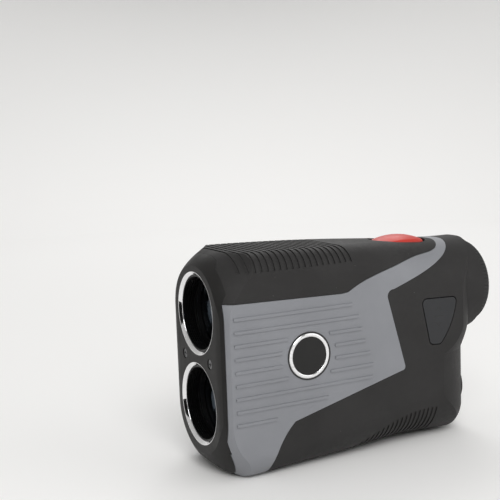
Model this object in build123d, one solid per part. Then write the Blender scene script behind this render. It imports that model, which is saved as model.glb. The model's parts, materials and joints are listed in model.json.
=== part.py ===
"""Handheld golf laser rangefinder: housing, optics, buttons, eyepiece, battery and electronics.

Frame: millimetres, +X towards the target, +Y to the user's left, +Z up.  The origin is on the
standing surface, below the middle of the housing's length and width.
"""
from build123d import *
import os
from math import sqrt

# ---------------------------------------------------------------- driving dimensions
FRONT_X = 56.0            # front face of the bezel
EYECUP_X = -56.0          # rear rim of the eyecup
HALF_WIDTH = 20.5         # flat sides of the housing
TOP_Z = 74.3              # highest point of the housing
OBJECTIVE_Z = 53.75       # axis of the upper lens
RECEIVER_Z = 23.0         # axis of the lower lens
EYE_Z = 53.2              # axis of the eyepiece
BATTERY_Z = 15.2          # axis of the battery

SKIN = 1.8                # thickness of the outer skin, bezel and side panels
WALL = 1.8                # thickness of the inner chassis
SEAM = 0.15               # gap round the inlaid side panels
BUTTON_GAP = 0.35         # gap round both buttons

BULGE_X = -28.0           # centre of the rounded rear end, seen from above
BACK_X = -46.9            # flat rear face that carries the battery cap
BROW_R = 5.0              # rounding of the top front edge
CHIN_R = 7.0              # rounding of the bottom front edge
HEEL_R = 11.0             # rounding of the bottom rear edge
FACE_HALF = 14.3          # half width of the flat strip of the front face
FACE_R = 12.4             # rounding beside that strip

TUBE_R = 17.4             # outer radius of the eyepiece housing
COLLAR_X = -51.5          # rear end of the eyepiece housing
# Flare under the eyepiece, turned about the vertical axis of the rear end: radius, z
NECK = [(17.6, 23.0), (18.9, 27.0), (20.4, 31.5), (22.2, 36.5), (23.2, 42.0)]

LENS_OPENING_R = 14.0     # opening in the bezel
LENS_BORE_R = 12.35       # clear bore behind the trim ring
LENS_TUBE_R = 13.6        # outside of both front lens tubes
LENS_FRONT_X = 50.0       # front vertex of both front lenses

BADGE_X, BADGE_Z = 24.65, 39.0
BADGE_R = 7.6             # bright ring
RING_INNER_R = 6.4        # dark disc inside it
GASKET_R = BADGE_R + 0.5
BADGE_SEAT = HALF_WIDTH - 1.1
PROUD = 0.35              # height of ribs and badge above the side face

GROOVE_DEPTH = 0.35       # grooves of the two rubber grips
ROOF_GROOVE_X, ROOF_PITCH = 48.2, 2.3
HEEL_GROOVE_X, HEEL_PITCH = 4.0, 1.85

RIB_FRONT = 51.8          # front ends of the panel ribs
RIB_W, RIB_PITCH = 1.0, 4.32
RIB_TOP_Z = 54.2          # height of the uppermost rib
RIB_CLEAR = 10.3          # clear radius round the badge
RIB_REAR = [7.6, 5.2, 4.1, 2.7, 0.9, -0.3, 0.0, 17.8, 37.3]

POWER_X = -25.0           # centre of the power button
POWER_L, POWER_W = 20.5, 15.0
POWER_TOP, CROWN_R = 73.3, 22.0
MODE_SWITCH = (-28.0, 46.0)   # x, z of the switch behind the mode button

BEZEL_SCREW_Y, BEZEL_SCREW_Z = 10.0, 38.4
HOUSING_SCREWS = [(24, 8), (20, 30), (-12, 32), (-37, 31)]
BOSS_R, PILOT_R, SHANK_R = 2.3, 1.0, 0.98

EYE_SLEEVE_R = 13.4       # outside of the turning eyepiece sleeve
EYE_OPENING_R = 14.6      # opening for its bearing
BATTERY_TUBE_R = 9.6
CAP_R = 9.4
TAB_HINGE = (-47.45, BATTERY_Z + 5.9)
MOTOR_Y, MOTOR_Z, MOTOR_R = 1.0, 11.5, 3.5

# Cross sections of the housing, front to rear:
# x, half width, top, bottom, top corner radius, bottom corner radius
SECTIONS = [
    (58.0, 20.4, 74.4, -0.2, 7.0, 8.5),
    (46.0, 20.5, 74.3, -0.2, 7.0, 8.5),
    (30.0, 20.5, 74.0, 0.4, 7.5, 9.5),
    (15.0, 20.5, 73.5, 0.7, 8.5, 11.0),
    (0.0, 20.5, 72.9, 1.0, 11.0, 13.0),
    (-15.0, 20.5, 72.1, 1.3, 14.5, 15.5),
    (-28.0, 20.4, 71.4, 0.3, 17.0, 17.5),
    (-38.0, 20.2, 71.0, -0.2, 18.0, 18.0),
    (-52.0, 20.0, 70.8, -0.2, 18.0, 18.0),
]

# Rounded front of the bezel, in the same six values; it runs wide of the housing behind the seam
DOME = [
    (40.0, 27.0, 80.0, -9.0, 9.0, 9.0),
    (43.0, 23.5, 76.0, -2.5, 13.0, 10.0),
    (48.5, 21.6, 74.2, 0.0, 17.0, 12.5),
    (52.4, 20.9, 72.6, 2.0, 19.5, 15.5),
    (54.8, 18.9, 70.9, 4.4, 18.3, 16.5),
    (56.8, 15.0, 69.0, 7.8, 14.8, 14.8),
]


# ---------------------------------------------------------------- small helpers
def cylinder_x(radius, x0, x1, y=0.0, z=0.0):
    """A cylinder along X from x0 to x1."""
    return Pos((x0 + x1) / 2, y, z) * Rot(0, 90, 0) * Cylinder(radius, abs(x1 - x0))


def cylinder_y(radius, y0, y1, x=0.0, z=0.0):
    """A cylinder along Y from y0 to y1."""
    return Pos(x, (y0 + y1) / 2, z) * Rot(90, 0, 0) * Cylinder(radius, abs(y1 - y0))


def tube_x(outer, inner, x0, x1, z):
    """A plain tube along X."""
    longer = cylinder_x(inner, x0 - 1, x1 + 1, z=z)
    return cylinder_x(outer, x0, x1, z=z) - longer


def block(x0, x1, y0, y1, z0, z1):
    """A box between two corners."""
    centre = Pos((x0 + x1) / 2, (y0 + y1) / 2, (z0 + z1) / 2)
    return centre * Box(x1 - x0, y1 - y0, z1 - z0)


def revolved(points, z):
    """A solid of revolution about the X axis at height z; points are (x, radius)."""
    face = make_face(Polyline(*[(x, z + r) for x, r in points], close=True))
    return revolve(Plane.XZ * face, Axis((0, 0, z), (1, 0, 0)))


def along_y(face, y0, y1):
    """Extrude a face drawn in (x, z) from y0 to y1."""
    return Pos(0, y0, 0) * extrude(Plane.XZ * face, amount=-(y1 - y0))


def lens(radius, x_rear, x_front, bulge_rear, bulge_front, z):
    """A round lens; each spherical face bulges past the rim by the given height."""
    def face_arc(x_rim, bulge):
        ball_r = (radius ** 2 + bulge ** 2) / (2 * abs(bulge))
        sag = ball_r - sqrt(ball_r ** 2 - radius ** 2 / 4)
        mid_x = x_rim + bulge - (sag if bulge > 0 else -sag)
        return ThreePointArc((x_rim, z + radius), (mid_x, z + radius / 2), (x_rim + bulge, z))

    face = make_face([
        Line((x_rear, z + radius), (x_front, z + radius)),
        face_arc(x_front, bulge_front),
        Line((x_front + bulge_front, z), (x_rear - bulge_rear, z)),
        face_arc(x_rear, -bulge_rear),
    ])
    return revolve(Plane.XZ * face, Axis((0, 0, z), (1, 0, 0)))


def mirrored(shape):
    """The same piece on the other side of the housing."""
    return mirror(shape, about=Plane.XZ)


# ---------------------------------------------------------------- housing surface
def section_wire(x, half, top, bottom, r_top, r_bottom, inset):
    """One cross section: a rectangle with two corner radii, shrunk by inset."""
    half, top, bottom = half - inset, top - inset, bottom + inset
    rt, rb = r_top - inset, r_bottom - inset
    edges = [
        Line((half, bottom + rb), (half, top - rt)),
        CenterArc((half - rt, top - rt), rt, 0, 90),
        Line((half - rt, top), (rt - half, top)),
        CenterArc((rt - half, top - rt), rt, 90, 90),
        Line((-half, top - rt), (-half, bottom + rb)),
        CenterArc((rb - half, bottom + rb), rb, 180, 90),
        Line((rb - half, bottom), (half - rb, bottom)),
        CenterArc((half - rb, bottom + rb), rb, 270, 90),
    ]
    return Plane.YZ.offset(x) * Wire(edges)


def side_profile(inset):
    """Outline seen from the side: chin, face, brow, top and rear face."""
    front, back, top = FRONT_X - inset, BACK_X + inset, TOP_Z - inset
    brow, chin = BROW_R - inset, CHIN_R - inset
    edges = [
        Line((back, inset), (FRONT_X - CHIN_R, inset)),
        CenterArc((FRONT_X - CHIN_R, CHIN_R), chin, 270, 90),
        Line((front, CHIN_R), (front, TOP_Z - BROW_R)),
        CenterArc((FRONT_X - BROW_R, TOP_Z - BROW_R), brow, 0, 90),
        Line((FRONT_X - BROW_R, top), (back, top)),
        Line((back, top), (back, inset)),
    ]
    return make_face(Wire(edges))


def plan_profile(inset):
    """Outline seen from above: slightly domed face and flat sides."""
    front, half = FRONT_X - inset, HALF_WIDTH - inset
    radius = FACE_R - inset
    cheek_x = FRONT_X - FACE_R + sqrt(radius ** 2 - (half - FACE_HALF) ** 2)
    mid = 0.5 * (FACE_HALF + half)
    mid_x = FRONT_X - FACE_R + sqrt(radius ** 2 - (mid - FACE_HALF) ** 2)
    edges = [
        Line((front, -FACE_HALF), (front, FACE_HALF)),
        ThreePointArc((front, FACE_HALF), (mid_x, mid), (cheek_x, half)),
        Polyline((cheek_x, half), (-60, half), (-60, -half), (cheek_x, -half)),
        ThreePointArc((cheek_x, -half), (mid_x, -mid), (front, -FACE_HALF)),
    ]
    return make_face([edge for curve in edges for edge in curve.edges()])


def rear_end(inset):
    """Turned rear end with a rounded heel, and everything in front of its axis."""
    radius = HALF_WIDTH - inset
    flat, corner = HALF_WIDTH - HEEL_R, HEEL_R - inset
    edges = [
        Line((BULGE_X, inset), (BULGE_X - flat, inset)),
        CenterArc((BULGE_X - flat, HEEL_R), corner, 180, 90),
        Polyline((BULGE_X - radius, HEEL_R), (BULGE_X - radius, 90), (BULGE_X, 90), (BULGE_X, inset)),
    ]
    face = make_face([edge for curve in edges for edge in curve.edges()])
    turned = revolve(Plane.XZ * face, Axis((BULGE_X, 0, 0), (0, 0, 1)))
    return turned + block(BULGE_X, 60, -30, 30, -9, 90)


def neck(inset):
    """Turned form that widens upwards from the rear face to the eyepiece."""
    points = [(BULGE_X - r + inset, z) for r, z in NECK]
    (low_x, low_z), (high_x, high_z) = points[0], points[-1]
    frame = Polyline((high_x, high_z), (high_x, 80), (BULGE_X, 80), (BULGE_X, low_z), (low_x, low_z))
    face = make_face([*Spline(*points).edges(), *frame.edges()])
    return revolve(Plane.XZ * face, Axis((BULGE_X, 0, 0), (0, 0, 1)))


def housing_form(inset):
    """The solid inside the housing's outer surface moved inwards by inset."""
    trunk = Solid.make_loft([section_wire(*s, inset) for s in SECTIONS])
    body = trunk & along_y(side_profile(inset), -30, 30)
    body = body & extrude(plan_profile(inset), amount=TOP_Z + 5)
    dome = Solid.make_loft([section_wire(*s, inset) for s in DOME])
    body = body & (dome + block(-60, 41, -30, 30, -9, 90))
    body = body & rear_end(inset)
    barrel = cylinder_x(TUBE_R - inset, BULGE_X, COLLAR_X + inset, z=EYE_Z)
    return body + (trunk & neck(inset)) + barrel


# ---------------------------------------------------------------- outlines drawn in (x, z)
def panel_outline(gap):
    """Side panel with the band that climbs over the top; shrunk by gap."""
    waist = [(40.3, -1.5), (39.6, 2.1), (38.0, 6.6), (35.0, 12.3), (30.4, 17.6)]
    band_rear = [(-9.5, 57.3), (-21.7, 61.3), (-30.2, 64.2), (-38.0, 67.8), (-42.6, 71.2)]
    band_front = [(-38.6, 71.6), (-35.2, 69.3), (-24.0, 67.5), (-11.0, 65.2)]
    band_front += [(0.8, 62.3), (8.9, 58.6)]
    front = [(11.5, 58.3), (55.2, 59.25), (55.2, 12.6), (51.2, 3.2), (49.5, -1.5), (40.3, -1.5)]
    curves = [
        Polyline(*front),
        Spline(*waist),
        Line((30.4, 17.6), (-12.4, 28.4)),
        ThreePointArc((-12.4, 28.4), (-13.7, 29.2), (-13.7, 30.6)),
        Line((-13.7, 30.6), (-7.0, 55.0)),
        ThreePointArc((-7.0, 55.0), (-7.4, 56.4), (-9.5, 57.3)),
        Spline(*band_rear),
        Polyline((-42.6, 71.2), (-43.2, 76.0), (-38.6, 76.0), (-38.6, 71.6)),
        Spline(*band_front),
        Line((8.9, 58.6), (11.5, 58.3)),
    ]
    face = make_face([edge for curve in curves for edge in curve.edges()])
    return redrawn(offset(face, -gap, kind=Kind.ARC)) if gap else face


def redrawn(face):
    """The same face with its offset curves drawn as splines, which a STEP file can hold."""
    steps = [i / 6 for i in range(7)]
    edges = []
    for edge in face.edges():
        curved = edge.geom_type == GeomType.OFFSET
        edges.append(Spline(*[edge @ t for t in steps]) if curved else edge)
    return make_face(edges)


def panel_prism(gap):
    """The panel outline cut through the left half, leaving the bottom of the foot bridged."""
    foot = block(30, 60, -1, 12.5 + gap, -5, 10)
    return along_y(panel_outline(gap), 0, 30) - foot


def bezel_prism(grow):
    """Everything in front of the bezel's seam, with the whole thickness of the front plate."""
    seam = [(48.9, -2), (50.6, 3.2), (54.6, 12.6), (54.6, 65), (53.4, 69), (51.4, 72), (50.7, 77)]
    seam = [(x - grow, z) for x, z in seam]
    prism = along_y(make_face(Polyline(*seam, (65, 77), (65, -2), close=True)), -30, 30)
    return prism + block(53, 60, -18 - grow, 18 + grow, 10 - grow, 70.9 + grow)


def mode_outline(grow):
    """Rounded triangle of the mode button, with a bowed rear side."""
    top_front, top_rear = (-21.2, 52.4), (-36.3, 51.8)
    tip_rear, tip_front = (-29.0, 35.8), (-24.7, 36.2)
    face = make_face([
        Line(top_front, top_rear),
        ThreePointArc(top_rear, (-34.0, 43.2), tip_rear),
        Line(tip_rear, tip_front),
        Line(tip_front, top_front),
    ])
    face = fillet(face.vertices(), 1.6)
    return offset(face, grow) if grow else face


def power_plan(grow):
    """Rounded rectangle of the power button, seen from above."""
    plan = RectangleRounded(POWER_L + 2 * grow, POWER_W + 2 * grow, 6.5 + grow)
    return Pos(POWER_X, 0, 60) * extrude(plan, amount=20)


# ---------------------------------------------------------------- housing
OUTER = housing_form(0)
MIDDLE = housing_form(SKIN)
INNER = housing_form(SKIN + WALL)
SHELL = OUTER - MIDDLE
LINING = MIDDLE - INNER

MODE_PRISM = along_y(mode_outline(0), 10, 30)
MODE_HOLE = along_y(mode_outline(BUTTON_GAP), 10, 30)
MODE_SEAT = along_y(mode_outline(1.1), 10, 30)
LENS_AXES = (OBJECTIVE_Z, RECEIVER_Z)
PANEL_CUT = panel_prism(0)
RIB_Z = [RIB_TOP_Z - RIB_PITCH * i for i in range(9)]


def front_bezel():
    """Front frame with two lens openings and two counterbored screw holes."""
    frame = SHELL & bezel_prism(0)
    for z in LENS_AXES:
        frame -= cylinder_x(LENS_OPENING_R, 50, 60, z=z)
    for y in (-BEZEL_SCREW_Y, BEZEL_SCREW_Y):
        frame -= cylinder_x(1.15, 50, 60, y=y, z=BEZEL_SCREW_Z)
        frame -= cylinder_x(1.75, 54.9, 60, y=y, z=BEZEL_SCREW_Z)
    return frame


def trim_ring(z):
    """Bright ring with an inward cone, pressed into a bezel opening."""
    back, lip = FRONT_X - SKIN, FRONT_X - 1.3
    rim = LENS_OPENING_R
    return revolved([(back, LENS_BORE_R), (back, rim), (FRONT_X, rim), (lip, LENS_BORE_R)], z)


def bezel_screws():
    """Two pan-head screws that hold the bezel."""
    screws = []
    for y in (-BEZEL_SCREW_Y, BEZEL_SCREW_Y):
        screw = cylinder_x(SHANK_R, 46, 55, y=y, z=BEZEL_SCREW_Z)
        screw += cylinder_x(1.6, 54.9, 55.7, y=y, z=BEZEL_SCREW_Z)
        for half_y, half_z in ((0.2, 0.9), (0.9, 0.2)):
            z0, z1 = BEZEL_SCREW_Z - half_z, BEZEL_SCREW_Z + half_z
            screw -= block(55.35, 56, y - half_y, y + half_y, z0, z1)
        screws.append(screw)
    return Compound(children=screws)


def chassis_half(side):
    """Inner shell on one side (+1 left, -1 right) with screw bosses and openings."""
    keep = block(-70, 70, min(0, 30 * side), max(0, 30 * side), -10, 90)
    shell = LINING
    for x, z in HOUSING_SCREWS:
        shell += cylinder_y(BOSS_R, -25, 25, x, z) & MIDDLE
    for y in (-BEZEL_SCREW_Y, BEZEL_SCREW_Y):
        shell += cylinder_x(BOSS_R, 44, 53, y=y, z=BEZEL_SCREW_Z)
        shell -= cylinder_x(PILOT_R, 45, 60, y=y, z=BEZEL_SCREW_Z)
    half = shell & keep
    for z in LENS_AXES:
        half -= cylinder_x(LENS_TUBE_R + 0.05, 50, 60, z=z)
    half -= cylinder_x(BATTERY_TUBE_R + 0.05, -60, -38, z=BATTERY_Z)
    half -= cylinder_x(EYE_OPENING_R, -60, -46, z=EYE_Z)
    half -= cylinder_x(EYE_SLEEVE_R + 0.3, -60, -40, z=EYE_Z)
    half -= power_plan(1.2)
    for x, z in HOUSING_SCREWS:
        half -= cylinder_y(PILOT_R if side > 0 else 1.15, -30, 8.5, x, z)
    if side > 0:
        return half - MODE_SEAT
    half -= cylinder_y(7.05, -30, -17.2, BADGE_X, BADGE_Z)
    for x, z in HOUSING_SCREWS:
        half -= cylinder_y(2.0, -30, head_seat(x), x, z)
    return half


def head_seat(x):
    """Y of the seat under a housing screw's head: 2.6 below the chassis surface."""
    half = HALF_WIDTH - SKIN
    if x < BULGE_X:
        half = sqrt(half ** 2 - (x - BULGE_X) ** 2)
    return -(half - 2.6)


def chassis_screws():
    """Four screws from the right that clamp the chassis halves."""
    screws = []
    for x, z in HOUSING_SCREWS:
        seat = head_seat(x)
        head = cylinder_y(1.8, seat - 1.2, seat, x, z)
        screws.append(head + cylinder_y(SHANK_R, seat, 8, x, z))
    return Compound(children=screws)


def grip_shell():
    """Outer rubber skin between the panels, bezel, buttons, battery cap and eyepiece."""
    shell = SHELL - PANEL_CUT - mirrored(PANEL_CUT) - bezel_prism(SEAM / 2)
    shell -= power_plan(BUTTON_GAP)
    shell -= MODE_HOLE
    shell -= cylinder_x(CAP_R + 0.35, -60, -41, z=BATTERY_Z)
    return shell - cylinder_x(EYE_SLEEVE_R + 0.3, -60, -45, z=EYE_Z)


def grip_grooves():
    """Shallow transverse grooves that leave ribs on the roof and on the heel."""
    layer = OUTER - housing_form(GROOVE_DEPTH)
    comb = []
    for i in range(19):
        x = ROOF_GROOVE_X - ROOF_PITCH * i
        comb.append(block(x - 0.5, x + 0.5, -21, 21, 68.4, 80))
    for i in range(18):
        x = HEEL_GROOVE_X - HEEL_PITCH * i
        top = 13.0 - 9.5 * ((x + 24) / 28) ** 2
        comb.append(block(x - 0.42, x + 0.42, -21, 21, -1, top))
    return layer & Compound(children=comb)


def side_panel():
    """Left inlay with raised ribs that stop short of the badge."""
    panel = (SHELL & panel_prism(SEAM)) - bezel_prism(SEAM)
    inner, outer = HALF_WIDTH - 0.6, HALF_WIDTH + PROUD
    for z, rear in zip(RIB_Z, RIB_REAR):
        for x0, x1 in rib_spans(z, rear):
            panel += block(x0, x1, inner, outer, z - RIB_W / 2, z + RIB_W / 2)
    return panel


def rib_spans(z, rear):
    """The x ranges of one rib, interrupted by a clear disc round the badge."""
    height = abs(z - BADGE_Z)
    if height >= RIB_CLEAR - 2:
        return [(rear, RIB_FRONT)]
    chord = sqrt(RIB_CLEAR ** 2 - height ** 2)
    return [(rear, BADGE_X - chord), (BADGE_X + chord, RIB_FRONT)]


def badge_part(outer, inner, proud):
    """A disc or ring of the badge, seated in the left panel's pocket."""
    part = cylinder_y(outer, BADGE_SEAT, HALF_WIDTH + proud, BADGE_X, BADGE_Z)
    return part - cylinder_y(inner, 0, 30, BADGE_X, BADGE_Z) if inner else part


# ---------------------------------------------------------------- buttons and switches
def power_button():
    """Domed button in the roof, with a short plunger above its switch."""
    crown = Pos(POWER_X, 0, POWER_TOP - CROWN_R) * Sphere(CROWN_R)
    cap = power_plan(0) & crown & block(-60, 20, -20, 20, 66.9, 90)
    return cap + Pos(POWER_X, 0, 67.0) * Cylinder(2.0, 0.6)


def mode_button():
    """Side button, flush with the grip, with a short plunger."""
    cap = MODE_PRISM & OUTER & block(-60, 0, 15.7, 30, 0, 90)
    return cap + cylinder_y(1.6, 15.1, 16.0, *MODE_SWITCH)


def tact_switch(size):
    """Low square switch with a round plunger, 1.5 high, standing on the XY plane."""
    return Pos(0, 0, 0.6) * Box(size, size, 1.2) + Pos(0, 0, 1.3) * Cylinder(size / 4, 0.4)


# ---------------------------------------------------------------- eyepiece
def diopter_ring():
    """Rigid sleeve that turns in the eyepiece bearing."""
    return tube_x(EYE_SLEEVE_R, 11.9, -54.4, -46.2, EYE_Z)


def eyecup():
    """Soft cup on the sleeve; its rim is the rear end of the instrument."""
    rim = EYECUP_X
    profile = [(rim, 12.8), (rim, 14.7), (rim + 0.8, 15.5), (-51.9, 15.5),
               (-51.9, EYE_SLEEVE_R), (-54.4, EYE_SLEEVE_R), (-54.4, 11.9), (-55.0, 11.9)]
    return revolved(profile, EYE_Z)


# ---------------------------------------------------------------- front optics
def lens_tube(z, rear):
    """Black tube behind one bezel opening, with fine glare grooves and a lens seat."""
    tube = cylinder_x(LENS_TUBE_R, rear, FRONT_X - SKIN, z=z)
    tube -= cylinder_x(LENS_BORE_R, 46.6, 60, z=z) + cylinder_x(11.5, rear - 1, 47, z=z)
    for i in range(4):
        tube -= cylinder_x(LENS_BORE_R + 0.3, 51.0 + 0.8 * i, 51.4 + 0.8 * i, z=z)
    return tube


def lens_retainers():
    """Threaded rings that hold both front lenses."""
    rings = [tube_x(LENS_BORE_R - 0.05, 11.1, 49.0, 50.4, z) for z in LENS_AXES]
    return Compound(children=rings)


def prism_holder():
    """Open box on the bench, with a port at each end."""
    box = block(-33, -6, -11, 11, 40.1, 63.2) - block(-31.8, -7.2, -9.8, 9.8, 44, 62)
    return box - cylinder_x(8.5, -20, 0, z=OBJECTIVE_Z) - cylinder_x(7.0, -40, -20, z=EYE_Z)


def prisms():
    """Pair of roof prisms with an air gap between them."""
    front = [(-8, 46), (-8, 60.5), (-13, 60.5), (-18.8, 52), (-18.8, 46)]
    rear = [(-19.4, 61), (-30.6, 61), (-30.6, 46), (-25, 46), (-19.4, 52.5)]
    faces = [make_face(Polyline(*outline, close=True)) for outline in (front, rear)]
    return Compound(children=[along_y(face, -7, 7) for face in faces])


def optical_bench():
    """Plate that carries the objective tube, splitter and prisms."""
    return block(-33, 40, -10, 10, 38.4, 40.1) - Pos(5, 0, 39) * Cylinder(3.1, 6)


def splitter_mount():
    """Pedestal under the beam splitter, bored for the laser beam."""
    return block(-4, 14, -9, 9, 40.1, 45.7) - Pos(5, 0, 43) * Cylinder(3.1, 8)


def laser_diode():
    """Can with a flange, pointing up into the splitter."""
    return Pos(5, 0, 36.6) * Cylinder(2.8, 1.2) + Pos(5, 0, 39) * Cylinder(2.35, 4)


# ---------------------------------------------------------------- electronics and motor
def main_pcb():
    """Upright board beside the battery tube, with clearance round two screw bosses."""
    board = block(-28, 24, -12.6, -11.4, 12, 36)
    for x, z in HOUSING_SCREWS[1:3]:
        board -= cylinder_y(BOSS_R + 0.4, -20, 0, x, z)
    return board


def pcb_chips():
    """Processor, memory, regulator and connector on the outer side of the board."""
    chips = [(-4, 6, 16, 26), (9, 15, 18, 24), (-20, -15, 15, 20), (-24, -16, 24, 29)]
    blocks = [block(x0, x1, -13.8, -12.6, z0, z1) for x0, x1, z0, z1 in chips]
    return Compound(children=blocks)


def motor_weight():
    """Half-round weight on the motor's shaft."""
    lower = block(0, 10, -5, 5, MOTOR_Z - 4, MOTOR_Z)
    weight = cylinder_x(3.0, 4.8, 7.8, y=MOTOR_Y, z=MOTOR_Z) & lower
    return weight + cylinder_x(0.6, 4.05, 8.0, y=MOTOR_Y, z=MOTOR_Z)


def motor_cradle():
    """Block under the motor, hollowed to its radius."""
    cradle = block(-5, 3, -2.2, 4.2, 5.2, 10)
    return cradle - cylinder_x(MOTOR_R, -10, 10, y=MOTOR_Y, z=MOTOR_Z)


# ---------------------------------------------------------------- battery
def battery_tube():
    """Closed tube with a wider mouth for the cap's plug."""
    tube = cylinder_x(BATTERY_TUBE_R, -43.0, -11.2, z=BATTERY_Z)
    tube -= cylinder_x(8.2, -50, -12.4, z=BATTERY_Z)
    return tube - cylinder_x(8.9, -50, -40.5, z=BATTERY_Z)


def battery():
    """Short round cell with its positive nub forward."""
    return cylinder_x(7.8, -39.4, -14.2, z=BATTERY_Z) + cylinder_x(3.0, -14.3, -13.2, z=BATTERY_Z)


def battery_cap():
    """Round cap with a plug, and a pocket for the folding tab."""
    rim = [(-48.0, 0), (-48.0, 8.7), (-47.3, CAP_R), (-45.3, CAP_R), (-45.3, 8.85)]
    rim += [(-41, 8.85), (-41, 0)]
    pocket = block(-49, -46.85, -2.5, 2.5, BATTERY_Z - 7, BATTERY_Z + 7.2)
    cap = revolved(rim, BATTERY_Z) - pocket
    return cap - cylinder_y(0.4, -3.5, 3.5, *TAB_HINGE)


def cap_tab():
    """Flat tab that folds out of the cap to turn it."""
    plate = block(-47.95, -46.95, -2.2, 2.2, BATTERY_Z - 5.6, TAB_HINGE[1])
    knuckle = cylinder_y(0.5, -2.2, 2.2, *TAB_HINGE)
    return plate + knuckle - cylinder_y(0.43, -5, 5, *TAB_HINGE)


def cap_spring():
    """Dished contact spring on the cap's plug."""
    return revolved([(-41.0, 0), (-41.0, 5.0), (-40.6, 5.0), (-39.6, 1.5), (-39.6, 0)], BATTERY_Z)


# ---------------------------------------------------------------- all pieces
PANEL_LEFT = side_panel()
GRIPS = sorted((grip_shell() - grip_grooves()).solids(), key=lambda s: s.center().Z)
BADGE_POCKET = cylinder_y(GASKET_R, BADGE_SEAT, 30, BADGE_X, BADGE_Z)
MAGNET_POCKET = cylinder_y(7.05, -30, -15, BADGE_X, BADGE_Z) + mirrored(BADGE_POCKET)
SWITCH_ON_ROOF = Pos(POWER_X, 0, 64.1) * tact_switch(6)
SWITCH_ON_SIDE = Pos(MODE_SWITCH[0], 12.8, MODE_SWITCH[1]) * Rot(-90, 0, 0) * tact_switch(4.5)

NODES = {
    "front_bezel": front_bezel(),
    "objective_trim_ring": trim_ring(OBJECTIVE_Z),
    "receiver_trim_ring": trim_ring(RECEIVER_Z),
    "bezel_screws": bezel_screws(),
    "chassis_left": chassis_half(1),
    "chassis_right": chassis_half(-1),
    "chassis_screws": chassis_screws(),
    "rear_grip": GRIPS[0],
    "top_grip": GRIPS[-1],
    "side_panel_left": PANEL_LEFT - BADGE_POCKET,
    "side_panel_right": mirrored(PANEL_LEFT) - MAGNET_POCKET,
    "badge_gasket": badge_part(GASKET_R, BADGE_R, 0.15),
    "badge_ring": badge_part(BADGE_R, RING_INNER_R, PROUD),
    "badge_disc": badge_part(RING_INNER_R, 0, 0.1),
    "magnet_cover": mirrored(badge_part(GASKET_R, 0, PROUD)),
    "mount_magnet": cylinder_y(7.0, -19.3, -17.3, BADGE_X, BADGE_Z),
    "power_button": power_button(),
    "power_button_seal": LINING & (power_plan(1.2) - power_plan(BUTTON_GAP)),
    "power_switch": SWITCH_ON_ROOF,
    "power_switch_board": block(POWER_X - 8, POWER_X + 8, -6, 6, 63.2, 64.1),
    "mode_button": mode_button(),
    "mode_button_seal": LINING & (MODE_SEAT - MODE_HOLE),
    "mode_switch": SWITCH_ON_SIDE,
    "mode_switch_board": block(-35, -21, 12.0, 12.8, 38, 50),
    "eyepiece_bearing": tube_x(EYE_OPENING_R, EYE_SLEEVE_R + 0.05, -49.7, -46.2, EYE_Z),
    "diopter_ring": diopter_ring(),
    "eyecup": eyecup(),
    "ocular_barrel": tube_x(11.85, 10.4, -52.6, -38.5, EYE_Z),
    "eye_lens": lens(10.35, -51.2, -49.2, 1.2, 1.2, EYE_Z),
    "field_lens": lens(10.35, -43.5, -41.5, 1.0, 1.0, EYE_Z),
    "objective_tube": lens_tube(OBJECTIVE_Z, 16),
    "receiver_tube": lens_tube(RECEIVER_Z, 30),
    "objective_lens": lens(LENS_BORE_R - 0.05, 46.7, 48.3, 0.6, LENS_FRONT_X - 48.3, OBJECTIVE_Z),
    "receiver_lens": lens(LENS_BORE_R - 0.05, 46.7, 48.3, 0.6, LENS_FRONT_X - 48.3, RECEIVER_Z),
    "lens_retainers": lens_retainers(),
    "optical_bench": optical_bench(),
    "splitter_mount": splitter_mount(),
    "beam_splitter": block(-3, 13, -8, 8, 45.75, 61.75),
    "prism_holder": prism_holder(),
    "prisms": prisms(),
    "display_plate": block(-36.2, -35.2, -8, 8, 45.5, 61),
    "laser_diode": laser_diode(),
    "laser_board": block(-2, 12, -7, 7, 34.9, 35.9),
    "detector_board": block(26, 27.2, -10, 10, 13, 33),
    "detector_can": cylinder_x(4, 27.2, 30.5, z=RECEIVER_Z),
    "main_pcb": main_pcb(),
    "pcb_chips": pcb_chips(),
    "shield_can": block(0, 16.5, -11.4, -9, 14, 27),
    "vibration_motor": cylinder_x(MOTOR_R, -6, 4, y=MOTOR_Y, z=MOTOR_Z),
    "motor_weight": motor_weight(),
    "motor_cradle": motor_cradle(),
    "battery_tube": battery_tube(),
    "battery": battery(),
    "battery_contact": cylinder_x(4.0, -13.1, -12.4, z=BATTERY_Z),
    "battery_cap": battery_cap(),
    "battery_cap_seal": tube_x(9.5, 8.9, -45.25, -43.05, BATTERY_Z),
    "cap_spring": cap_spring(),
    "cap_tab": cap_tab(),
    "cap_tab_pin": cylinder_y(0.38, -3.4, 3.4, *TAB_HINGE),
}

os.makedirs("parts", exist_ok=True)
for name, shape in NODES.items():
    export_step(shape, f"parts/{name}.step")
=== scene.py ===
"""Looks of the golf laser rangefinder: materials, smooth surfaces, studio stage and camera.

Frame: metres, +X towards the target, +Y to the user's left, +Z up, standing on z = 0.
"""

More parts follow.
